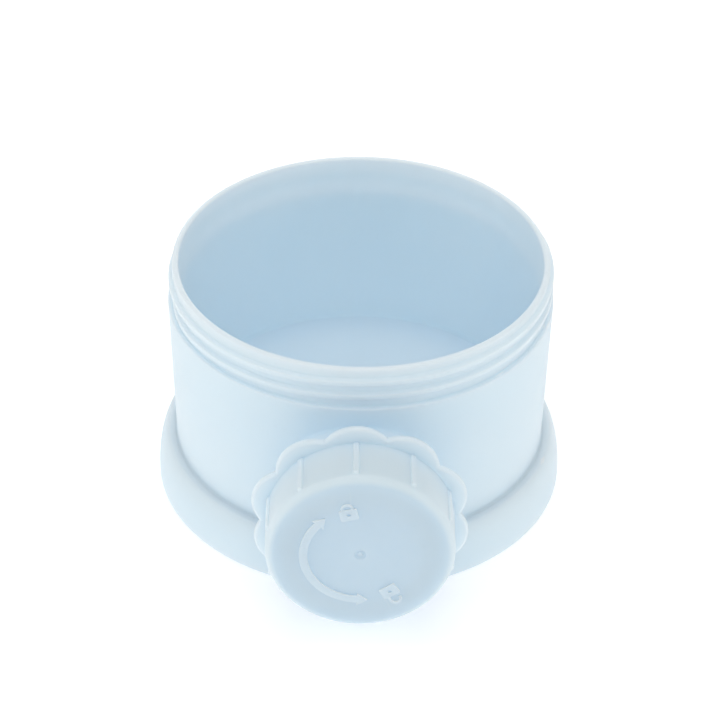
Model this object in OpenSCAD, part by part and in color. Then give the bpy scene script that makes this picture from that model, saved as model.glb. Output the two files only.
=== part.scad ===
// Stackable formula dispenser tier with a screw-capped side spout.
// Millimetres. The origin is the centre of the base plane, +Z is up, the spout points along -Y.

/* [Cup] */
// Height of the cup from the base plane to the lip
cup_h = 58.7; // [40:0.1:90]
// Outside radius of the wall just under the rim thread
wall_top_r = 44; // [30:0.1:60]
// Outside radius of the wall where it meets the skirt
wall_low_r = 42.7; // [30:0.1:60]
// Inside radius at the lip
mouth_r = 41.5; // [28:0.1:58]
// Inside radius just above the floor
cavity_low_r = 40.5; // [28:0.1:58]
// Height of the inside floor
floor_z = 14; // [8:0.1:20]
// Fillet between the floor and the inside wall
floor_fillet = 1.0; // [0.5:0.1:6]

/* [Rim thread] */
// Radius of the plain neck behind the rim thread
neck_r = 42.9; // [30:0.1:60]
// Crest radius of the rim thread
rim_crest_r = 43.8; // [30:0.1:60]
// Height of the shoulder under the rim thread
shoulder_z = 48.85; // [30:0.05:80]
// Pitch of the rim thread and the socket thread
stack_pitch = 3.6; // [2:0.1:6]
// Height of the upper ridge's centre above the spout
ridge_z = 55.35; // [30:0.05:80]
// Turn from the spout to the thread's top end, in degrees
rim_top_turn = 130; // [0:5:180]
// Turn from the spout down to the thread's lower end, in degrees
rim_low_turn = 450; // [300:5:560]

/* [Skirt] */
// Outside radius of the skirt
skirt_r = 47; // [40:0.1:70]
// Height where the skirt starts to curve inwards
skirt_z = 1.85; // [0.5:0.05:6]
// Height where the shoulder of the skirt meets the wall
skirt_top_z = 11.8; // [8:0.1:20]
// Radius where the shoulder of the skirt goes level
skirt_in_r = 44.2; // [38:0.1:60]
// Radius of the plain land at the mouth of the socket
socket_land_r = 44.9; // [40:0.1:65]
// Length of that plain land
socket_land = 2.4; // [1:0.1:5]
// Root radius of the socket thread
socket_root_r = 44.3; // [40:0.1:65]
// Crest radius of the socket thread
socket_crest_r = 43.25; // [38:0.05:64]
// Height of the socket's ceiling
socket_z = 10.4; // [6:0.1:16]
// Radius of the recess in that ceiling
recess_r = 35; // [10:0.5:40]
// Height of the recess's top
recess_z = 11.8; // [6:0.1:18]
// Radius of the seat that holds the stacking seal
seat_r = 43.35; // [38:0.05:60]

/* [Spout] */
// Height of the spout's axis
spout_z = 25.94; // [18:0.01:40]
// Radius of the plain collar between the wall and the spout's thread
boss_r = 17.8; // [14:0.1:24]
// Distance of the collar's front face from the cup's axis
boss_y = 50.4; // [46:0.1:60]
// Radius of the powder passage
passage_r = 13.9; // [8:0.1:18]
// Outside radius of the spout neck
spout_neck_r = 16.3; // [10:0.1:22]
// Crest radius of the spout thread
spout_crest_r = 17.55; // [10:0.05:24]
// Distance of the spout's end face from the cup's axis
spout_end_y = 62.3; // [55:0.1:80]
// Lead of the spout thread
spout_lead = 4; // [2:0.1:6]

/* [Cap] */
// Outside radius of the cap's barrel
barrel_r = 20.73; // [15:0.01:30]
// Distance of the cap's face from the cup's axis
face_y = 65.95; // [55:0.05:80]
// Rounding between the barrel and the face
face_round = 2.1; // [0.5:0.1:5]
// Distance of the flange's front from the cup's axis
flange_y = 53.2; // [50:0.1:70]
// Thickness of the flange
flange_t = 1.8; // [1:0.1:4]
// Radius at the tip of a lobe
lobe_tip_r = 24.45; // [20:0.05:35]
// Radius at the notch between two lobes
notch_r = 22.04; // [18:0.02:33]
// Number of lobes and of grip ribs
lobes = 10; // [6:1:16]
// Turn of the top lobe, anticlockwise seen from the front
lobe_turn = 3; // [-18:0.5:18]
// Width of a grip rib
rib_w = 1.3; // [0.6:0.1:3]
// Height of a grip rib above the barrel
rib_h = 0.5; // [0.2:0.05:1.5]
// Thickness of the cap's end plate
plate_t = 2.2; // [1.2:0.1:4]
// Root radius of the cap's thread
cap_root_r = 18; // [12:0.05:25]
// Crest radius of the cap's thread
cap_crest_r = 16.65; // [12:0.05:25]
// Height of the raised marks on the face
mark_h = 0.35; // [0.1:0.05:1]

/* [Seals] */
// Thickness of the silicone ring in the cap
cap_seal_t = 1.35; // [0.8:0.05:3]
// Outside radius of that ring
cap_seal_r = 17.5; // [12:0.1:24]
// Inside radius of that ring
cap_seal_in_r = 13.8; // [10:0.1:20]
// Thickness of the stacking seal
stack_seal_t = 1.2; // [0.8:0.05:3]
// Inside radius of the stacking seal
stack_seal_in_r = 40.4; // [34:0.1:50]

/* [Hidden] */
$fn = 96;
blue = [0.74, 0.85, 0.92];
clear = [0.9, 0.93, 0.94];
lip_round = 0.55;
gap = 0.05;
step = 6;

// Lobe circle from the tip and notch radii.
half_chord = notch_r * sin(180 / lobes);
sagitta = lobe_tip_r - notch_r * cos(180 / lobes);
lobe_r = (half_chord * half_chord + sagitta * sagitta) / (2 * sagitta);
lobe_at = lobe_tip_r - lobe_r;

plate_y = face_y - plate_t;

// Points of an elliptical quarter from angle a to angle b.
function arc(cx, cy, rx, ry, a, b, n) =
    [for (i = [0:n]) [cx + rx * cos(a + (b - a) * i / n), cy + ry * sin(a + (b - a) * i / n)]];

// Puts a shape drawn round +Z onto the spout's axis, pointing out of the spout.
module on_spout() {
    translate([0, 0, spout_z])
        rotate([90, 0, 0])
            children();
}

// One helical ridge of trapezoid section, faded out at both ends.
// deep is the buried radius, root the wall it grows from, crest its top.
module ridge(deep, root, crest, base_w, crest_w, z0, a0, a1, lead, fade) {
    n = ceil((a1 - a0) / step);
    low = root + (deep - root) * 0.5;
    pts = [for (i = [0:n])
        let (a = a0 + (a1 - a0) * i / n,
             k = min(1, (a - a0) / fade, (a1 - a) / fade),
             r = low + (crest - low) * k,
             z = z0 + lead * a / 360)
        each [
            [deep * cos(a), deep * sin(a), z - base_w / 2],
            [r * cos(a), r * sin(a), z - crest_w / 2 - (1 - k) * (base_w - crest_w) / 4],
            [r * cos(a), r * sin(a), z + crest_w / 2 + (1 - k) * (base_w - crest_w) / 4],
            [deep * cos(a), deep * sin(a), z + base_w / 2]
        ]];
    flip = crest > root ? 1 : 0;
    sides = [for (i = [0:n - 1]) for (j = [0:3])
        let (p = 4 * i + j,
             q = 4 * i + (j + 1) % 4,
             u = p + 4,
             v = q + 4)
        each (flip == 0 ? [[p, u, v], [p, v, q]] : [[p, v, u], [p, q, v]])];
    m = 4 * n;
    ends = flip == 0 ?
        [[0, 1, 2], [0, 2, 3], [m, m + 2, m + 1], [m, m + 3, m + 2]] :
        [[0, 2, 1], [0, 3, 2], [m, m + 1, m + 2], [m, m + 2, m + 3]];
    polyhedron(points = pts, faces = concat(sides, ends), convexity = 8);
}

// Outside of the cup and skirt as one solid of revolution.
module cup_outside() {
    rotate_extrude($fn = 180)
        polygon(concat(
            [[0, 0], [skirt_r - 0.6, 0]],
            arc(skirt_r - 0.6, 0.6, 0.6, 0.6, -90, 0, 4),
            arc(skirt_in_r, skirt_z, skirt_r - skirt_in_r, skirt_top_z - skirt_z, 0, 90, 12),
            arc(wall_low_r + 0.65, skirt_top_z + 0.6, 0.6, 0.6, 270, 180, 3),
            arc(wall_top_r - 0.5, shoulder_z - 0.4, 0.5, 0.5, 0, 70, 4),
            [[neck_r, shoulder_z + 0.35]],
            arc(neck_r - lip_round, cup_h - lip_round, lip_round, lip_round, 0, 90, 4),
            [[0, cup_h]]));
}

// Inside of the cup.
module cavity() {
    rotate_extrude($fn = 180)
        polygon(concat(
            [[0, floor_z]],
            arc(cavity_low_r - floor_fillet, floor_z + floor_fillet, floor_fillet, floor_fillet, -90, 0, 6),
            [[mouth_r - 0.02, cup_h - 0.45]],
            [[mouth_r + 0.12, cup_h - 0.15], [mouth_r + 0.45, cup_h]],
            [[mouth_r + 0.45, cup_h + 1], [0, cup_h + 1]]));
}

// Room under the floor that screws over the rim of the tier below.
module socket() {
    rotate_extrude($fn = 180)
        polygon([
            [0, -1],
            [socket_land_r, -1],
            [socket_land_r, socket_land],
            [socket_root_r, socket_land + 0.5],
            [socket_root_r, socket_z - 2.3],
            [seat_r, socket_z - 1.8],
            [seat_r, socket_z],
            [recess_r + 0.6, socket_z],
            [recess_r, recess_z],
            [0, recess_z]
        ]);
}

// Collar and neck of the spout, before the passage is cut.
module spout_outside() {
    rotate_extrude($fn = 120)
        polygon(concat(
            [[0, 36], [boss_r, 36]],
            arc(boss_r - 0.6, boss_y - 0.6, 0.6, 0.6, 0, 90, 4),
            [[spout_neck_r + 0.6, boss_y], [spout_neck_r, boss_y + 0.6]],
            arc(spout_neck_r - 0.5, spout_end_y - 0.5, 0.5, 0.5, 0, 90, 3),
            [[0, spout_end_y]]));
}

// Passage from the cup through the neck, with a run-out in the floor.
module passage() {
    translate([0, 0, 38])
        cylinder(h = 40, r = passage_r);
    translate([0, 0, 32.5])
        cylinder(h = 5.51, r1 = spout_z - floor_z - 0.1, r2 = passage_r);
}

module spout_thread() {
    ridge(spout_neck_r - 0.4, spout_neck_r, spout_crest_r, 2.1, 0.9,
        boss_y + 4.4, 0, 520, spout_lead, 30);
}

module cup() {
    color(blue) {
        difference() {
            union() {
                cup_outside();
                on_spout() spout_outside();
            }
            cavity();
            socket();
            on_spout() passage();
        }
        ridge(neck_r - 0.4, neck_r, rim_crest_r, 2.3, 1.1,
            ridge_z + stack_pitch * 90 / 360, -90 - rim_low_turn, rim_top_turn - 90, stack_pitch, 25);
        ridge(socket_root_r + 0.4, socket_root_r, socket_crest_r, 1.5, 0.7,
            4, -60, 300, stack_pitch, 25);
        on_spout() spout_thread();
        seal_rib();
        gate_nub();
    }
}

// Ring on the socket's ceiling that centres the stacking seal.
module seal_rib() {
    translate([0, 0, socket_z - 1.1])
        difference() {
            cylinder(h = 1.2, r = stack_seal_in_r - 0.15, $fn = 180);
            translate([0, 0, -1])
                cylinder(h = 4, r = stack_seal_in_r - 1.35, $fn = 180);
        }
}

module gate_nub() {
    translate([0, 0, recess_z - 0.35])
        cylinder(h = 0.5, r = 1.6);
}

// Turned shape of the cap, without thread, lobes, ribs or marks.
module cap_shell() {
    rotate_extrude($fn = 144)
        polygon(concat(
            [[cap_root_r + 0.5, flange_y - flange_t]],
            [[barrel_r, flange_y - flange_t]],
            arc(barrel_r - face_round, face_y - face_round, face_round, face_round, 0, 90, 8),
            [[0, face_y], [0, plate_y], [cap_root_r, plate_y]],
            [[cap_root_r, flange_y - flange_t + 0.5]]));
}

// Scalloped flange, drawn flat and then chamfered round its tips.
module flange() {
    translate([0, 0, flange_y - flange_t])
        intersection() {
            linear_extrude(flange_t)
                difference() {
                    union() {
                        circle(r = notch_r - 0.2);
                        for (k = [0:lobes - 1])
                            rotate([0, 0, 90 + lobe_turn + 360 / lobes * k])
                                translate([lobe_at, 0])
                                    circle(r = lobe_r);
                    }
                    circle(r = barrel_r - 1, $fn = 144);
                }
            rotate_extrude($fn = 144)
                polygon([
                    [0, 0],
                    [lobe_tip_r - 0.45, 0],
                    [lobe_tip_r, 0.45],
                    [lobe_tip_r, flange_t - 0.45],
                    [lobe_tip_r - 0.45, flange_t],
                    [0, flange_t]
                ]);
        }
}

module grip_ribs() {
    for (k = [0:lobes - 1])
        rotate([90, 0, 90 + lobe_turn + 360 / lobes * k])
            translate([0, 0, -rib_w / 2])
                linear_extrude(rib_w)
                    polygon([
                        [barrel_r - 0.8, flange_y - 0.5],
                        [barrel_r + rib_h, flange_y - 0.5],
                        [barrel_r + rib_h, face_y - face_round + 0.1],
                        [barrel_r + rib_h * 0.6, face_y - face_round + 0.6],
                        [barrel_r - 0.8, face_y - face_round + 0.8]
                    ]);
}

// Double-headed turn arrow, drawn on the left half of the face.
module turn_arrow() {
    rotate([0, 0, 137])
        rotate_extrude(angle = 131, $fn = 120)
            translate([11.5, 0])
                square([1.8, mark_h + 0.2]);
    arrow_head(138, -1);
    arrow_head(267, 1);
}

module arrow_head(at, way) {
    rotate([0, 0, at])
        translate([12.4, 0, 0])
            linear_extrude(mark_h + 0.2)
                polygon([[-1.7, 0], [1.7, 0], [0, way * 2.6]]);
}

// Padlock with its top pointing away from the cap's axis.
module padlock(at, out, lift) {
    rotate([0, 0, at])
        translate([out, 0, 0])
            rotate([0, 0, -90])
                linear_extrude(mark_h + 0.2) {
                    difference() {
                        translate([-2, -2])
                            square([4, 2.9]);
                        translate([0, -0.5])
                            circle(r = 0.45, $fn = 24);
                    }
                    difference() {
                        translate([0, 0.9 + lift])
                            circle(r = 1.45, $fn = 40);
                        translate([0, 0.9 + lift])
                            circle(r = 0.85, $fn = 40);
                        translate([-3, -3])
                            square([6, 3.9]);
                        if (lift > 0)
                            translate([-3, 0.9])
                                square([2.9, lift]);
                    }
                    if (lift > 0)
                        translate([0.85, 0.5])
                            square([0.6, lift + 0.4]);
                }
}

module marks() {
    translate([0, 0, face_y - 0.2]) {
        turn_arrow();
        padlock(103, 12, 0);
        padlock(-57, 12.5, 0.9);
    }
}

module spout_cap() {
    color(blue)
        on_spout() {
            difference() {
                union() {
                    cap_shell();
                    flange();
                    grip_ribs();
                    marks();
                }
                translate([0, 0, face_y - 0.3])
                    cylinder(h = 1, r = 1.2, $fn = 32);
            }
            translate([0, 0, face_y - 0.5])
                cylinder(h = 0.4, r = 0.45, $fn = 24);
            ridge(cap_root_r + 0.4, cap_root_r, cap_crest_r, 2.1, 0.9,
                boss_y + 4.4 - spout_lead / 2, 60, 650, spout_lead, 30);
        }
}

module cap_seal() {
    color(clear)
        on_spout()
            translate([0, 0, plate_y - gap - cap_seal_t])
                difference() {
                    cylinder(h = cap_seal_t, r = cap_seal_r);
                    translate([0, 0, -1])
                        cylinder(h = cap_seal_t + 2, r = cap_seal_in_r);
                }
}

module stack_seal() {
    color(clear)
        translate([0, 0, socket_z - stack_seal_t - 0.02])
            difference() {
                cylinder(h = stack_seal_t, r = seat_r - 0.1, $fn = 180);
                translate([0, 0, -1])
                    cylinder(h = stack_seal_t + 2, r = stack_seal_in_r, $fn = 180);
            }
}

cup();
spout_cap();
cap_seal();
stack_seal();
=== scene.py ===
import math

import bmesh
import bpy
import numpy as np
from mathutils import Matrix, Vector


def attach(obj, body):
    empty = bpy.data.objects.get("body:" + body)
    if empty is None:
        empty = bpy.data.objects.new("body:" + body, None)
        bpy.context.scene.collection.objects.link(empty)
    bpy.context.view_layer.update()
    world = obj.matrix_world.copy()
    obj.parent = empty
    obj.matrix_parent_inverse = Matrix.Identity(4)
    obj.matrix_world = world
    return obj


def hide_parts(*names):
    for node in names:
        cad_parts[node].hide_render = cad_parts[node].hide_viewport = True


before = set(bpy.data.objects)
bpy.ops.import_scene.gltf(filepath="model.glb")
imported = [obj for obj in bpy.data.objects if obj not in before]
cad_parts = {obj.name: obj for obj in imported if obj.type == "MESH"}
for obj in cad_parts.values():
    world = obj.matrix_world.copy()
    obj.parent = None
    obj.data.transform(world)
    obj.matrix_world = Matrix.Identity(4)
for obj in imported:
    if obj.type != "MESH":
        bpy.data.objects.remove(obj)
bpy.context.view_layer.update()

# The part's lengths are in millimetres, and MM turns them into Blender's metres.
# The camera, the floor, the lights and the materials' own distances are in metres.
MM = 0.001

# Cup
CUP_H = 58.7
FLOOR_Z, FLOOR_FILLET = 14.0, 1.0
WALL_TOP_R, WALL_LOW_R = 44.0, 42.7
MOUTH_R, CAVITY_LOW_R = 41.5, 40.5
NECK_R, RIM_CREST_R = 42.9, 43.8
SHOULDER_Z = 48.85
STACK_PITCH = 3.6
RIDGE_Z = 55.35
RIM_FIRST, RIM_LAST = -540, 40
SKIRT_R, SKIRT_Z, SKIRT_IN_R, SKIRT_TOP_Z = 47.0, 1.85, 44.2, 11.8
SOCKET_LAND_R, SOCKET_ROOT_R, SOCKET_CREST_R, SOCKET_Z = 44.9, 44.3, 43.25, 10.4
SOCKET_THREAD_Z, SOCKET_FIRST, SOCKET_LAST = 4.0, -60, 300
RECESS_R, RECESS_Z, SEAT_R = 35.0, 11.8, 43.35

# Spout
SPOUT_Z = 25.94
COLLAR_R, COLLAR_Y = 17.8, 50.4
PASSAGE_R = 13.9
NECK_OUT_R, NECK_CREST_R, NECK_END_Y = 16.3, 17.55, 62.3
SPOUT_LEAD = 4.0
SPOUT_THREAD_Y = COLLAR_Y + 4.4
SPOUT_THREAD_W, SPOUT_THREAD_TOP_W = 2.2, 0.7

# Cap
BARREL_R, FACE_Y, FACE_ROUND = 20.73, 65.95, 2.1
FLANGE_Y, FLANGE_T = 53.2, 1.8
LOBE_TIP_R, NOTCH_R, LOBES, LOBE_TURN = 24.45, 22.04, 10, 3.0
RIB_W, RIB_H = 1.3, 0.5
PLATE_Y = 63.75
CAP_ROOT_R, CAP_CREST_R = 18.0, 16.65
MARK_H = 0.35

# Seals
CAP_SEAL_T, CAP_SEAL_R, CAP_SEAL_IN_R = 1.35, 17.5, 13.8
STACK_SEAL_T, STACK_SEAL_IN_R = 1.2, 40.4


# ---------------------------------------------------------------- camera
def make_camera():
    """A long lens from the front and above, rolled by a fraction of a degree."""
    aim = Vector((0, 0, 0.03002))
    distance, lift, turn, roll = 0.76534, math.radians(36.171), math.radians(-0.5), math.radians(0.717)
    away = Vector((math.sin(turn) * math.cos(lift), -math.cos(turn) * math.cos(lift), math.sin(lift)))
    data = bpy.data.cameras.new("camera")
    data.lens, data.sensor_width = 164.97, 36
    data.clip_start, data.clip_end = 0.01, 20
    camera = bpy.data.objects.new("camera", data)
    bpy.context.scene.collection.objects.link(camera)
    camera.rotation_mode = "QUATERNION"
    camera.location = aim + away * distance
    facing = (-away).to_track_quat("-Z", "Y")
    camera.rotation_quaternion = facing @ Matrix.Rotation(roll, 3, "Z").to_quaternion()
    bpy.context.scene.camera = camera


make_camera()


# ---------------------------------------------------------------- mesh helpers
def arc(cx, cy, rx, ry, a, b, n):
    """Points of an elliptical arc from angle a to angle b, in degrees."""
    t = np.radians(np.linspace(a, b, n + 1))
    return [(cx + rx * math.cos(q), cy + ry * math.sin(q)) for q in t]


def line(p, q, n):
    """n points from p up to but not including q."""
    return [(p[0] + (q[0] - p[0]) * k / n, p[1] + (q[1] - p[1]) * k / n) for k in range(n)]


def smooth(x):
    x = np.clip(x, 0, 1)
    return x * x * (3 - 2 * x)


def ridge(theta, along, start, first, last, lead, fade, base_w, crest_w):
    """Height, from 0 to 1, of a helical ridge at each angle and distance along its axis."""
    height = np.zeros(np.broadcast(theta, along).shape)
    for k in range(-4, 5):
        a = theta + 360 * k
        ends = smooth(np.minimum(a - first, last - a) / fade)
        off = np.abs(along - (start + lead * a / 360))
        slope = smooth((base_w / 2 - off) / ((base_w - crest_w) / 2))
        height = np.maximum(height, ends * slope)
    return height


def skin(name, rows, loop=False):
    """A closed mesh over rows of points, each row closed round. A row of one point is a pole."""
    points, index = [], []
    for row in rows:
        index.append(list(range(len(points), len(points) + len(row))))
        points.extend(row)
    faces = []
    pairs = list(zip(index, index[1:])) + ([(index[-1], index[0])] if loop else [])
    for a, b in pairs:
        n = max(len(a), len(b))
        for j in range(n):
            k = (j + 1) % n
            if len(a) == 1:
                faces.append((a[0], b[j], b[k]))
            elif len(b) == 1:
                faces.append((a[j], b[0], a[k]))
            else:
                faces.append((a[j], b[j], b[k], a[k]))
    return solid(name, points, faces)


def solid(name, points, faces):
    """An object from points in millimetres, with its faces turned outwards."""
    mesh = bpy.data.meshes.new(name)
    mesh.from_pydata([tuple(float(c) * MM for c in p) for p in points], [], faces)
    obj = bpy.data.objects.new(name, mesh)
    bpy.context.scene.collection.objects.link(obj)
    bm = bmesh.new()
    bm.from_mesh(mesh)
    bmesh.ops.remove_doubles(bm, verts=bm.verts, dist=1e-7)
    bmesh.ops.recalc_face_normals(bm, faces=bm.faces)
    bm.to_mesh(mesh)
    bm.free()
    return obj


def combine(obj, other, operation):
    """Applies a boolean of obj with other, and removes other."""
    step = obj.modifiers.new("boolean", "BOOLEAN")
    step.operation, step.solver, step.object = operation, "MANIFOLD", other
    made = bpy.data.meshes.new_from_object(obj.evaluated_get(bpy.context.evaluated_depsgraph_get()))
    obj.modifiers.clear()
    old = obj.data
    obj.data = made
    made.name = obj.name
    bpy.data.meshes.remove(old)
    bpy.data.objects.remove(other)


def tidy_mesh(obj):
    """Merges slivers and keeps only the largest closed shell."""
    bm = bmesh.new()
    bm.from_mesh(obj.data)
    bmesh.ops.remove_doubles(bm, verts=bm.verts, dist=2e-6)
    bmesh.ops.dissolve_degenerate(bm, edges=bm.edges, dist=1e-6)
    left, shells = set(bm.verts), []
    while left:
        stack, shell = [left.pop()], []
        while stack:
            v = stack.pop()
            shell.append(v)
            for e in v.link_edges:
                w = e.other_vert(v)
                if w in left:
                    left.discard(w)
                    stack.append(w)
        shells.append(shell)
    shells.sort(key=len)
    bmesh.ops.delete(bm, geom=[v for shell in shells[:-1] for v in shell], context="VERTS")
    bm.to_mesh(obj.data)
    bm.free()


def shade(obj, angle=32):
    """Smooth faces, with every edge sharper than the angle kept crisp."""
    bm = bmesh.new()
    bm.from_mesh(obj.data)
    limit = math.radians(angle)
    for f in bm.faces:
        f.smooth = True
    for e in bm.edges:
        e.smooth = e.calc_face_angle(math.pi) < limit
    bm.to_mesh(obj.data)
    bm.free()


def round_z(profile, theta, change=None):
    """Rows round the Z axis from (radius, height) points. change gives the radius to add."""
    c, s = np.cos(np.radians(theta)), np.sin(np.radians(theta))
    rows = []
    for r, z in profile:
        if r < 1e-6:
            rows.append([(0, 0, z)])
            continue
        rr = np.full(len(theta), float(r)) + (change(theta, r, z) if change else 0)
        rows.append(list(zip(rr * c, rr * s, np.full(len(theta), float(z)))))
    return rows


def spout_rows(profile, phi, change=None):
    """Rows round the spout's axis from (radius, distance from the cup's axis) points."""
    c, s = np.cos(np.radians(phi)), np.sin(np.radians(phi))
    rows = []
    for r, y in profile:
        if np.ndim(r) == 0 and r < 1e-6:
            rows.append([(0, -float(np.mean(y)), SPOUT_Z)])
            continue
        rr = np.zeros(len(phi)) + r
        if change:
            rr = rr + change(phi, r, y)
        rows.append(list(zip(rr * c, -(np.zeros(len(phi)) + y), SPOUT_Z + rr * s)))
    return rows


# ---------------------------------------------------------------- cup
def outer_r(z):
    """Outside radius of the wall and skirt at height z."""
    wall = WALL_LOW_R + (WALL_TOP_R - WALL_LOW_R) * (z - SKIRT_TOP_Z) / (SHOULDER_Z - SKIRT_TOP_Z)
    t = np.clip((z - SKIRT_Z) / (SKIRT_TOP_Z - SKIRT_Z), 0, 1)
    skirt = SKIRT_IN_R + (SKIRT_R - SKIRT_IN_R) * np.sqrt(1 - t * t)
    return np.where(z > SKIRT_TOP_Z, wall, skirt)


def inner_r(z):
    """Inside radius of the wall at height z."""
    low = FLOOR_Z + FLOOR_FILLET
    return CAVITY_LOW_R + (MOUTH_R - CAVITY_LOW_R) * (z - low) / (CUP_H - low)


def rim_thread(theta, z):
    start = RIDGE_Z + STACK_PITCH / 4
    return ridge(theta, z, start, RIM_FIRST, RIM_LAST, STACK_PITCH, 28, 2.5, 0.8)


def socket_thread(theta, z):
    return ridge(theta, z, SOCKET_THREAD_Z, SOCKET_FIRST, SOCKET_LAST, STACK_PITCH, 25, 1.6, 0.5)


def cup_body():
    theta = np.linspace(0, 360, 320, endpoint=False)
    wall_x = WALL_TOP_R - 0.5
    top = CUP_H - 0.55
    nub = RECESS_Z - 0.35
    under = [(0, nub), (1.4, nub), (1.6, RECESS_Z - 0.2), (1.75, RECESS_Z), (6, RECESS_Z)]
    under += [(20, RECESS_Z)] + arc(RECESS_R - 0.5, RECESS_Z - 0.5, 0.5, 0.5, 90, 20, 4)
    under += arc(RECESS_R + 0.9, SOCKET_Z + 0.4, 0.4, -0.4, 180, 90, 4)
    rib_in, rib_out = STACK_SEAL_IN_R - 1.35, STACK_SEAL_IN_R - 0.15
    under += [(rib_in - 0.4, SOCKET_Z), (rib_in - 0.1, SOCKET_Z - 0.1), (rib_in, SOCKET_Z - 0.4)]
    under += arc(rib_in + 0.25, SOCKET_Z - 0.85, 0.25, 0.25, 180, 270, 3)
    under += arc(rib_out - 0.25, SOCKET_Z - 0.85, 0.25, 0.25, 270, 360, 3)
    under += [(rib_out, SOCKET_Z), (SEAT_R - 0.2, SOCKET_Z)]
    under += [(SEAT_R, SOCKET_Z - 0.2), (SEAT_R, SOCKET_Z - 1.7)]
    under += line((SOCKET_ROOT_R, SOCKET_Z - 2.3), (SOCKET_ROOT_R, 2.9), 30)
    under += [(SOCKET_ROOT_R, 2.9), (SOCKET_LAND_R, 2.3), (SOCKET_LAND_R, 0.35)]
    under += arc(SOCKET_LAND_R + 0.35, 0.35, 0.35, 0.35, 180, 270, 4)
    outside = arc(SKIRT_R - 0.7, 0.7, 0.7, 0.7, -90, 0, 7)
    outside += arc(SKIRT_IN_R, SKIRT_Z, SKIRT_R - SKIRT_IN_R, SKIRT_TOP_Z - SKIRT_Z, 0, 90, 22)
    outside += arc(WALL_LOW_R + 0.75, SKIRT_TOP_Z + 0.7, 0.7, 0.7, 262, 178, 6)
    outside += line((WALL_LOW_R + 0.07, SKIRT_TOP_Z + 1.2), (WALL_TOP_R - 0.015, SHOULDER_Z - 0.5), 16)
    outside += arc(wall_x, SHOULDER_Z - 0.45, 0.5, 0.45, 0, 90, 6)
    outside += arc(NECK_R + 0.3, SHOULDER_Z + 0.3, 0.3, 0.3, 270, 180, 4)[:-1]
    outside += line((NECK_R, SHOULDER_Z + 0.3), (NECK_R, top), 60)
    outside += arc(NECK_R - 0.55, top, 0.55, 0.55, 0, 90, 6)
    inside = arc(MOUTH_R + 0.45, CUP_H - 0.45, 0.45, 0.45, 90, 180, 5)
    corner = FLOOR_Z + FLOOR_FILLET
    inside += line((MOUTH_R - 0.02, CUP_H - 1.0), (CAVITY_LOW_R, corner), 20)
    inside += arc(CAVITY_LOW_R - FLOOR_FILLET, corner, FLOOR_FILLET, FLOOR_FILLET, 0, -90, 8)
    inside += [(34, FLOOR_Z), (26, FLOOR_Z), (16, FLOOR_Z), (6, FLOOR_Z), (0, FLOOR_Z)]

    def threads(theta, r, z):
        if abs(r - NECK_R) < 1e-6 and z > SHOULDER_Z:
            return (RIM_CREST_R - NECK_R) * rim_thread(theta, z)
        if abs(r - SOCKET_ROOT_R) < 1e-6 and z < SOCKET_Z:
            return (SOCKET_CREST_R - SOCKET_ROOT_R) * socket_thread(theta, z)
        return 0

    return skin("cup_shell", round_z(under + outside + inside, theta, threads))


def on_wall(rho, phi, radius):
    """Distance from the cup's axis, along the spout, of a turned surface at each point of a ring."""
    x = rho * np.cos(np.radians(phi))
    z = SPOUT_Z + rho * np.sin(np.radians(phi))
    return np.sqrt(radius(z) ** 2 - x * x)


def core_r(z):
    """A radius that stays inside the wall's and the skirt's own thickness."""
    return 41.9 + 3.3 * smooth((11.7 - z) / 1.2)


def spout_body():
    phi = np.linspace(0, 360, 192, endpoint=False)
    flare = 0.9
    rows = [(0, 41.9)]
    for rho in (5, 10, 14, 17):
        rows.append((rho, on_wall(rho, phi, core_r)))
    edge = COLLAR_R + flare
    rows.append((edge + 0.12, on_wall(edge, phi, core_r)))
    rows.append((edge + 0.12, on_wall(edge, phi, outer_r) - 0.25))
    for t in np.radians(np.linspace(14, 90, 8)):
        rho = edge - flare * math.sin(t)
        rows.append((rho, on_wall(rho, phi, outer_r) + flare * (1 - math.cos(t)) - 0.02))
    front = COLLAR_Y - 0.6
    high = on_wall(COLLAR_R, phi, outer_r) + flare
    for k in (0.34, 0.67):
        rows.append((COLLAR_R, high + (front - high) * k))
    rows += arc(COLLAR_R - 0.6, front, 0.6, 0.6, 0, 90, 5)
    rows += arc(NECK_OUT_R + 0.4, COLLAR_Y + 0.4, 0.4, 0.4, 270, 180, 4)[:-1]
    rows += line((NECK_OUT_R, COLLAR_Y + 0.4), (NECK_OUT_R, NECK_END_Y - 0.5), 60)
    rows += arc(NECK_OUT_R - 0.5, NECK_END_Y - 0.5, 0.5, 0.5, 0, 90, 5)
    rows += [(10, NECK_END_Y), (0, NECK_END_Y)]

    def thread(phi, r, y):
        if np.ndim(y) == 0 and abs(float(np.mean(r)) - NECK_OUT_R) < 1e-6:
            height = ridge(phi, y, SPOUT_THREAD_Y, 0, 520, SPOUT_LEAD, 30,
                           SPOUT_THREAD_W, SPOUT_THREAD_TOP_W)
            return (NECK_CREST_R - NECK_OUT_R) * height
        return 0

    return skin("spout", spout_rows(rows, phi, thread))


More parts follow.
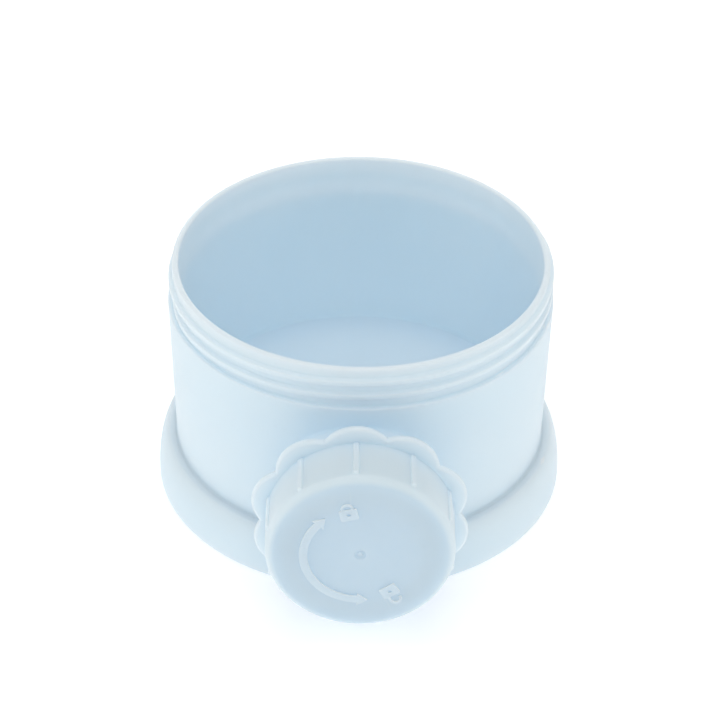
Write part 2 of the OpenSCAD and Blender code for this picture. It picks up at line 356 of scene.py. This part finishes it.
def passage_cutter():
    """The powder passage: a ramp out of the floor, a rounded way in and a straight bore."""
    phi = np.linspace(0, 360, 192, endpoint=False) + 0.9
    wide = 0.02 + 0.55 * smooth((np.sin(np.radians(phi)) + 0.62) / 0.3)
    low = SPOUT_Z - FLOOR_Z - 0.1
    rows = [(0, 24.0), (low, 24.0), (low, 32.5)]
    mouth = on_wall(PASSAGE_R, phi, inner_r)
    rows.append((PASSAGE_R + wide * 1.35, mouth - wide * 0.45))
    for t in np.radians(np.linspace(72, 0, 7)):
        rows.append((PASSAGE_R + wide * (1 - math.cos(t)), mouth + wide * (1 - math.sin(t))))
    rows += arc(PASSAGE_R + 0.3, NECK_END_Y - 0.3, 0.3, 0.3, 180, 110, 4)
    rows += [(PASSAGE_R + 0.6, NECK_END_Y + 0.5), (0, NECK_END_Y + 0.5)]
    return skin("passage", spout_rows(rows, phi))


def make_cup():
    cup = cup_body()
    combine(cup, spout_body(), "UNION")
    combine(cup, passage_cutter(), "DIFFERENCE")
    tidy_mesh(cup)
    shade(cup, 34)
    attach(cup, "cup")
    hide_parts("cup")
    return cup


# ---------------------------------------------------------------- cap
def cap_angles():
    """Angles round the cap, closer together at the ribs and at the notches."""
    near = np.array([0.3, 0.48, 0.58, 0.66, 0.74, 0.84, 1.0]) / BARREL_R * 180 / math.pi
    out = []
    for k in range(LOBES):
        mid = 90 + LOBE_TURN + 36 * k
        out.append(mid)
        out += [mid + s * a for a in near for s in (-1, 1)]
        out += [mid + 18 + s * a for a in (0, 0.35, 0.8, 1.3, 1.9) for s in (-1, 1)]
        out += [mid + s * a for a in np.arange(3.9, 16, 1.35) for s in (-1, 1)]
    return np.unique(np.round(np.mod(out, 360), 4))


def lobe_radius(phi):
    """Outside radius of the scalloped flange, with its notches eased."""
    half = NOTCH_R * math.sin(math.pi / LOBES)
    rise = LOBE_TIP_R - NOTCH_R * math.cos(math.pi / LOBES)
    radius = (half * half + rise * rise) / (2 * rise)
    centre = LOBE_TIP_R - radius
    off = np.radians(np.mod(phi - 90 - LOBE_TURN + 18, 36) - 18)
    lobe = centre * np.cos(off) + np.sqrt(radius ** 2 - (centre * np.sin(off)) ** 2)
    ease = np.degrees(np.abs(np.abs(off) - math.pi / LOBES)) / 1.9
    return lobe + 0.14 * (1 - smooth(ease))


def cap_body():
    phi = cap_angles()
    back = FLANGE_Y - FLANGE_T
    rib_end = FACE_Y - FACE_ROUND + 0.25
    lobe = lobe_radius(phi)
    half_t = FLANGE_T / 2
    rows = [(CAP_ROOT_R + 0.55, back), (BARREL_R - 0.6, back)]
    for t in np.radians(np.linspace(-90, 90, 13)):
        rows.append((lobe - half_t * 0.9 * (1 - math.cos(t)), back + half_t * (1 + math.sin(t))))
    rows += [(BARREL_R + 0.75, FLANGE_Y)]
    rows += arc(BARREL_R + 0.35, FLANGE_Y + 0.35, 0.35, 0.35, 270, 180, 3)[1:]
    rows += [(BARREL_R, FLANGE_Y + 0.6)] + line((BARREL_R, FLANGE_Y + 1), (BARREL_R, rib_end - 1.2), 5)
    rows += line((BARREL_R, rib_end - 1.2), (BARREL_R, FACE_Y - FACE_ROUND), 8)
    rows += arc(BARREL_R - FACE_ROUND, FACE_Y - FACE_ROUND, FACE_ROUND, FACE_ROUND, 0, 90, 14)
    rows += [(15.5, FACE_Y), (6, FACE_Y), (1.7, FACE_Y)]
    rows += [(1.32, FACE_Y - 0.05), (1.12, FACE_Y - 0.24), (0.95, FACE_Y - 0.3), (0.58, FACE_Y - 0.3)]
    rows += [(0.48, FACE_Y - 0.24), (0.42, FACE_Y - 0.12), (0.3, FACE_Y - 0.06), (0, FACE_Y - 0.05)]
    inner = [(0, PLATE_Y), (8, PLATE_Y), (13, PLATE_Y), (CAP_ROOT_R - 0.2, PLATE_Y)]
    inner += line((CAP_ROOT_R, PLATE_Y - 0.2), (CAP_ROOT_R, back + 0.55), 84)
    inner += [(CAP_ROOT_R, back + 0.55)]

    def relief(phi, r, y):
        if np.ndim(y) or np.ndim(r):
            return 0
        if abs(r - CAP_ROOT_R) < 1e-6:
            height = ridge(phi, y, SPOUT_THREAD_Y - SPOUT_LEAD / 2, 60, 650, SPOUT_LEAD, 30,
                           SPOUT_THREAD_W, SPOUT_THREAD_TOP_W)
            return (CAP_CREST_R - CAP_ROOT_R) * height
        if r > BARREL_R - FACE_ROUND and y > FLANGE_Y + 0.3:
            off = np.abs(np.mod(phi - 90 - LOBE_TURN + 18, 36) - 18) * math.pi / 180 * BARREL_R
            across = smooth((RIB_W / 2 + 0.12 - off) / 0.34)
            end = smooth((rib_end - y) / 0.7)
            return RIB_H * across * end
        return 0

    return skin("spout_cap_shell", spout_rows(rows + inner, phi, relief), loop=True)


def plate(outline, at=0.0, out=0.0):
    """A raised mark with eased edges from a flat outline, turned and moved onto the cap's face."""
    turn = math.radians(at)
    c, s = math.cos(turn), math.sin(turn)
    n = len(outline)
    bm = bmesh.new()
    base = [bm.verts.new((x, y, -0.2)) for x, y in outline]
    top = [bm.verts.new((x, y, MARK_H)) for x, y in outline]
    bm.faces.new(list(reversed(base)))
    lid = bm.faces.new(top)
    for j in range(n):
        k = (j + 1) % n
        bm.faces.new((base[j], base[k], top[k], top[j]))
    bmesh.ops.recalc_face_normals(bm, faces=bm.faces)
    bmesh.ops.bevel(bm, geom=list(lid.edges), offset=0.13, segments=3, profile=0.5, affect="EDGES")
    for v in bm.verts:
        x, y, z = v.co
        u, w = x + out, y
        v.co = ((u * c - w * s) * MM, -(FACE_Y + z) * MM, (SPOUT_Z + u * s + w * c) * MM)
    bmesh.ops.recalc_face_normals(bm, faces=bm.faces)
    mesh = bpy.data.meshes.new("mark")
    bm.to_mesh(mesh)
    bm.free()
    obj = bpy.data.objects.new("mark", mesh)
    bpy.context.scene.collection.objects.link(obj)
    return obj


def turn_arrow():
    """One outline: a curved band with a head at each end."""
    r_in, r_out, a, b = 11.5, 13.3, 138.0, 267.0
    mid = (r_in + r_out) / 2
    reach, wing = 2.4, 0.75
    pts = arc(0, 0, r_in, r_in, a, b, 48)

    def head(at, way, near, far):
        c, s = math.cos(math.radians(at)), math.sin(math.radians(at))
        tip = (mid * c - way * reach * s, mid * s + way * reach * c)
        return [(near * c, near * s), tip, (far * c, far * s)]

    pts += head(b, 1, r_in - wing, r_out + wing)
    pts += arc(0, 0, r_out, r_out, b, a, 48)
    pts += head(a, -1, r_out + wing, r_in - wing)
    return pts


def rounded_box(w, low, high, r):
    pts = []
    corners = ((w - r, high - r, 0), (r - w, high - r, 90), (r - w, low + r, 180), (w - r, low + r, 270))
    for cx, cy, a in corners:
        pts += arc(cx, cy, r, r, a, a + 90, 4)
    return pts


def shackle(lift, short):
    """Outline of a padlock's shackle. A short left leg leaves it open."""
    mid = 1.0 + lift
    pts = [(1.45, 0.4)] + arc(0, mid, 1.45, 1.45, 0, 180, 14)
    end = mid + 0.1 if short else 0.4
    pts += [(-1.45, end - 0.2 if short else end), (-0.85, end - 0.2 if short else end)]
    pts += arc(0, mid, 0.85, 0.85, 180, 0, 12) + [(0.85, 0.4)]
    return pts


def turned_up(outline):
    """Turns an outline so that its top points away from the cap's axis."""
    return [(y, -x) for x, y in outline]


def make_cap():
    cap = cap_body()
    combine(cap, plate(turn_arrow()), "UNION")
    for at, out, lift, short in ((103, 12, 0.0, False), (-57, 12.5, 0.9, True)):
        lock = plate(turned_up(rounded_box(2.0, -2.0, 0.9, 0.35)), at, out)
        combine(lock, plate(turned_up(shackle(lift, short)), at, out), "UNION")
        hole = plate(turned_up(arc(0, -0.5, 0.45, 0.45, 0, 345, 23)), at, out)
        hole.data.transform(Matrix.Translation((0, -0.15 * MM, 0)))
        combine(lock, hole, "DIFFERENCE")
        combine(cap, lock, "UNION")
    shade(cap, 30)
    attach(cap, "cap")
    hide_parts("spout_cap")
    return cap


# ---------------------------------------------------------------- seals
def rounded_ring(r_in, r_out, low, high, r, groove):
    """Section of a flat ring with rounded edges and a shallow groove in its upper face."""
    mid, half = (r_in + r_out) / 2, 0.55
    pts = arc(r_in + r, low + r, r, r, 180, 270, 4)
    pts += [(mid - half, low)] + [(mid + half, low)]
    pts += arc(r_out - r, low + r, r, r, 270, 360, 4) + arc(r_out - r, high - r, r, r, 0, 90, 4)
    pts += [(mid + half, high), (mid + half * 0.5, high - groove)]
    pts += [(mid - half * 0.5, high - groove), (mid - half, high)]
    pts += arc(r_in + r, high - r, r, r, 90, 180, 4)
    return pts


def make_seals():
    top = PLATE_Y - 0.05
    section = rounded_ring(CAP_SEAL_IN_R, CAP_SEAL_R, top - CAP_SEAL_T, top, 0.3, 0.12)
    phi = np.linspace(0, 360, 160, endpoint=False)
    ring = skin("cap_seal_ring", spout_rows(section, phi), loop=True)
    top = SOCKET_Z - 0.02
    section = rounded_ring(STACK_SEAL_IN_R, SEAT_R - 0.1, top - STACK_SEAL_T, top, 0.3, 0.12)
    theta = np.linspace(0, 360, 240, endpoint=False)
    big = skin("stack_seal_ring", round_z(section, theta), loop=True)
    for obj, body, node in ((ring, "seal", "cap_seal"), (big, "cup", "stack_seal")):
        shade(obj, 40)
        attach(obj, body)
        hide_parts(node)
    return ring, big


# ---------------------------------------------------------------- materials
def new_material(name):
    mat = bpy.data.materials.new(name)
    mat.use_nodes = True
    tree = mat.node_tree
    shader = next(n for n in tree.nodes if n.type == "BSDF_PRINCIPLED")
    return mat, tree, shader


def noise(tree, coords, scale, detail, roughness=0.5):
    n = tree.nodes.new("ShaderNodeTexNoise")
    n.inputs["Scale"].default_value = scale
    n.inputs["Detail"].default_value = detail
    n.inputs["Roughness"].default_value = roughness
    tree.links.new(coords, n.inputs["Vector"])
    return n.outputs["Fac"]


def remap(tree, value, a, b, c, d):
    n = tree.nodes.new("ShaderNodeMapRange")
    n.interpolation_type = "SMOOTHSTEP"
    for socket, number in zip(("From Min", "From Max", "To Min", "To Max"), (a, b, c, d)):
        n.inputs[socket].default_value = number
    tree.links.new(value, n.inputs["Value"])
    return n.outputs["Result"]


def mix(tree, fac, a, b):
    n = tree.nodes.new("ShaderNodeMix")
    n.data_type = "RGBA"
    tree.links.new(fac, n.inputs["Factor"])
    for socket, value in ((n.inputs[6], a), (n.inputs[7], b)):
        if isinstance(value, tuple):
            socket.default_value = value
        else:
            tree.links.new(value, socket)
    return n.outputs[2]


def add(tree, a, b, how="ADD"):
    n = tree.nodes.new("ShaderNodeMath")
    n.operation = how
    for socket, value in zip(n.inputs, (a, b)):
        if isinstance(value, (int, float)):
            socket.default_value = value
        else:
            tree.links.new(value, socket)
    return n.outputs[0]


def bump(tree, height, strength, distance, before=None):
    n = tree.nodes.new("ShaderNodeBump")
    n.inputs["Strength"].default_value = strength
    n.inputs["Distance"].default_value = distance
    tree.links.new(height, n.inputs["Height"])
    if before:
        tree.links.new(before, n.inputs["Normal"])
    return n.outputs["Normal"]


def cap_painted_highlight(tree, coords, colour):
    """Painted highlight: a barrel and flange paler than the face, and paler outlines on the raised
    marks, standing in for the light that falls on them.
    """
    split = tree.nodes.new("ShaderNodeSeparateXYZ")
    tree.links.new(coords, split.inputs["Vector"])
    out = add(tree, split.outputs["Y"], -1.0, "MULTIPLY")
    flatten = tree.nodes.new("ShaderNodeVectorMath")
    flatten.operation = "MULTIPLY"
    flatten.inputs[1].default_value = (1, 0, 1)
    tree.links.new(coords, flatten.inputs[0])
    reach = tree.nodes.new("ShaderNodeVectorMath")
    reach.operation = "DISTANCE"
    reach.inputs[1].default_value = (0, 0, SPOUT_Z * MM)
    tree.links.new(flatten.outputs["Vector"], reach.inputs[0])
    # Painted highlight: the outer zone (the face's rounded edge, the barrel and the flange) is made
    # paler, as if more light falls on it.
    near, far = (BARREL_R - 1.9) * MM, (BARREL_R - 0.6) * MM
    side = remap(tree, reach.outputs["Value"], near, far, 0, 0.75)
    colour = mix(tree, side, colour, (0.74, 0.86, 0.965, 1))
    # Painted highlight: pale outlines along the raised marks' bevelled edges.
    rise = remap(tree, out, (FACE_Y + 0.02) * MM, (FACE_Y + 0.06) * MM, 0, 0.7)
    flat = remap(tree, out, (FACE_Y + 0.30) * MM, (FACE_Y + 0.34) * MM, 1, 0.3)
    return mix(tree, add(tree, rise, flat, "MULTIPLY"), colour, (0.84, 0.93, 0.99, 1))


def moulded_plastic(name, base, warm, rough_low, rough_high, seed, edge_wear_and_highlight, painted_highlight=None):
    """Milky satin polypropylene: cloudy colour, fine grain and paler, smoother edges, the paler edges
    partly wear and partly painted highlight.
    """
    mat, tree, shader = new_material(name)
    coords = tree.nodes.new("ShaderNodeTexCoord").outputs["Object"]
    shift = tree.nodes.new("ShaderNodeMapping")
    shift.inputs["Location"].default_value = (seed, seed * 0.37, seed * 0.71)
    tree.links.new(coords, shift.inputs["Vector"])
    place = shift.outputs["Vector"]
    cloud = remap(tree, noise(tree, place, 38, 3), 0.3, 0.7, 0, 1)
    fleck = remap(tree, noise(tree, place, 900, 2), 0.62, 0.78, 0, 1)
    grain = noise(tree, place, 2600, 3, 0.6)
    smear = remap(tree, noise(tree, place, 120, 4), 0.4, 0.75, 0, 1)
    point = tree.nodes.new("ShaderNodeNewGeometry").outputs["Pointiness"]
    # Paler convex edges from pointiness: partly wear, partly a painted highlight along rounded edges and
    # ribs.
    edge = remap(tree, point, 0.51, 0.60, 0, 1)
    worn_and_lit_edge = add(tree, edge, remap(tree, smear, 0, 1, 0.55, 1), "MULTIPLY")
    colour = mix(tree, cloud, base, warm)
    dark = tuple(c * 0.86 for c in base[:3]) + (1,)
    pale = tuple(c + (1 - c) * 0.55 for c in base[:3]) + (1,)
    colour = mix(tree, add(tree, fleck, 0.10, "MULTIPLY"), colour, dark)
    colour = mix(tree, add(tree, worn_and_lit_edge, edge_wear_and_highlight, "MULTIPLY"), colour, pale)
    # Painted highlight on the cap's outer zone and mark outlines, when given.
    if painted_highlight:
        colour = painted_highlight(tree, coords, colour)
    tree.links.new(colour, shader.inputs["Base Color"])
    rough = remap(tree, smear, 0, 1, rough_low, rough_high)
    rough = add(tree, rough, add(tree, worn_and_lit_edge, 0.08, "MULTIPLY"), "SUBTRACT")
    tree.links.new(rough, shader.inputs["Roughness"])
    fine = bump(tree, grain, 0.12, 0.00004)
    tree.links.new(bump(tree, noise(tree, place, 70, 2), 0.10, 0.0004, fine), shader.inputs["Normal"])
    shader.inputs["IOR"].default_value = 1.49
    shader.inputs["Specular IOR Level"].default_value = 0.42
    shader.inputs["Subsurface Weight"].default_value = 0.85
    shader.inputs["Subsurface Scale"].default_value = 0.004
    shader.inputs["Subsurface Radius"].default_value = (1.0, 1.0, 1.0)
    return mat


def silicone_rubber(name):
    """Milky silicone: soft sheen, dusty mottling and a light moulded grain."""
    mat, tree, shader = new_material(name)
    coords = tree.nodes.new("ShaderNodeTexCoord").outputs["Object"]
    dust = remap(tree, noise(tree, coords, 260, 4, 0.6), 0.4, 0.7, 0, 1)
    colour = mix(tree, dust, (0.80, 0.84, 0.85, 1), (0.74, 0.78, 0.80, 1))
    tree.links.new(colour, shader.inputs["Base Color"])
    tree.links.new(remap(tree, dust, 0, 1, 0.42, 0.58), shader.inputs["Roughness"])
    tree.links.new(bump(tree, noise(tree, coords, 1500, 3), 0.15, 0.00006), shader.inputs["Normal"])
    shader.inputs["IOR"].default_value = 1.41
    shader.inputs["Subsurface Weight"].default_value = 0.6
    shader.inputs["Subsurface Scale"].default_value = 0.0015
    shader.inputs["Subsurface Radius"].default_value = (1.0, 1.0, 1.0)
    return mat


def dress(obj, mat):
    obj.data.materials.clear()
    obj.data.materials.append(mat)


# ---------------------------------------------------------------- stage
def area_light(name, at, aim, size, watts):
    data = bpy.data.lights.new(name, "AREA")
    data.shape, data.size, data.size_y = "RECTANGLE", size[0], size[1]
    data.energy = watts
    obj = bpy.data.objects.new(name, data)
    bpy.context.scene.collection.objects.link(obj)
    obj.location = at
    obj.rotation_mode = "QUATERNION"
    obj.rotation_quaternion = (Vector(aim) - Vector(at)).to_track_quat("-Z", "Y")


def make_stage():
    mesh = bpy.data.meshes.new("floor")
    half = 6.0
    corners = [(-half, -half, 0), (half, -half, 0), (half, half, 0), (-half, half, 0)]
    mesh.from_pydata(corners, [], [(0, 1, 2, 3)])
    floor = bpy.data.objects.new("floor", mesh)
    bpy.context.scene.collection.objects.link(floor)
    floor.location.z = -0.0002
    mat, _, shader = new_material("floor_paper")
    shader.inputs["Base Color"].default_value = (0.9, 0.9, 0.9, 1)
    shader.inputs["Roughness"].default_value = 0.9
    shader.inputs["Specular IOR Level"].default_value = 0.1
    shader.inputs["Emission Color"].default_value = (1, 1, 1, 1)
    shader.inputs["Emission Strength"].default_value = 0.33
    dress(floor, mat)
    world = bpy.data.worlds.new("studio")
    bpy.context.scene.world = world
    world.use_nodes = True
    back = next(n for n in world.node_tree.nodes if n.type == "BACKGROUND")
    back.inputs["Color"].default_value = (1, 1, 1, 1)
    back.inputs["Strength"].default_value = 0.45
    aim = (0, 0, 0.03)
    area_light("left", (-0.65, -0.10, 0.30), aim, (0.6, 0.6), 0.9)
    area_light("right", (0.65, -0.10, 0.30), aim, (0.6, 0.6), 0.68)
    area_light("top", (0.0, 0.0, 0.90), aim, (0.6, 0.6), 1.5)
    area_light("front_top", (0.0, -0.60, 0.70), aim, (0.6, 0.5), 1.05)
    area_light("back", (0.0, 0.70, 0.25), aim, (0.8, 0.4), 1.35)
    scene = bpy.context.scene
    scene.view_settings.view_transform = "Standard"
    scene.view_settings.look = "None"


cup = make_cup()
cap = make_cap()
cap_ring, stack_ring = make_seals()
cup_blue, cup_blue_warm = (0.71, 0.838, 0.96, 1), (0.725, 0.848, 0.965, 1)
# Painted shade: the cap's blue is a darker copy of the cup's plastic, standing in for the shade on its
# front-facing face.
cap_blue_shaded, cap_blue_warm_shaded = (0.61, 0.76, 0.90, 1), (0.625, 0.77, 0.905, 1)
dress(cup, moulded_plastic("cup_plastic", cup_blue, cup_blue_warm, 0.38, 0.48, 0.0, 0.8))
dress(cap, moulded_plastic("cap_plastic", cap_blue_shaded, cap_blue_warm_shaded, 0.36, 0.46, 3.1, 0.2, cap_painted_highlight))
silicone = silicone_rubber("silicone")
dress(cap_ring, silicone)
dress(stack_ring, silicone)
make_stage()
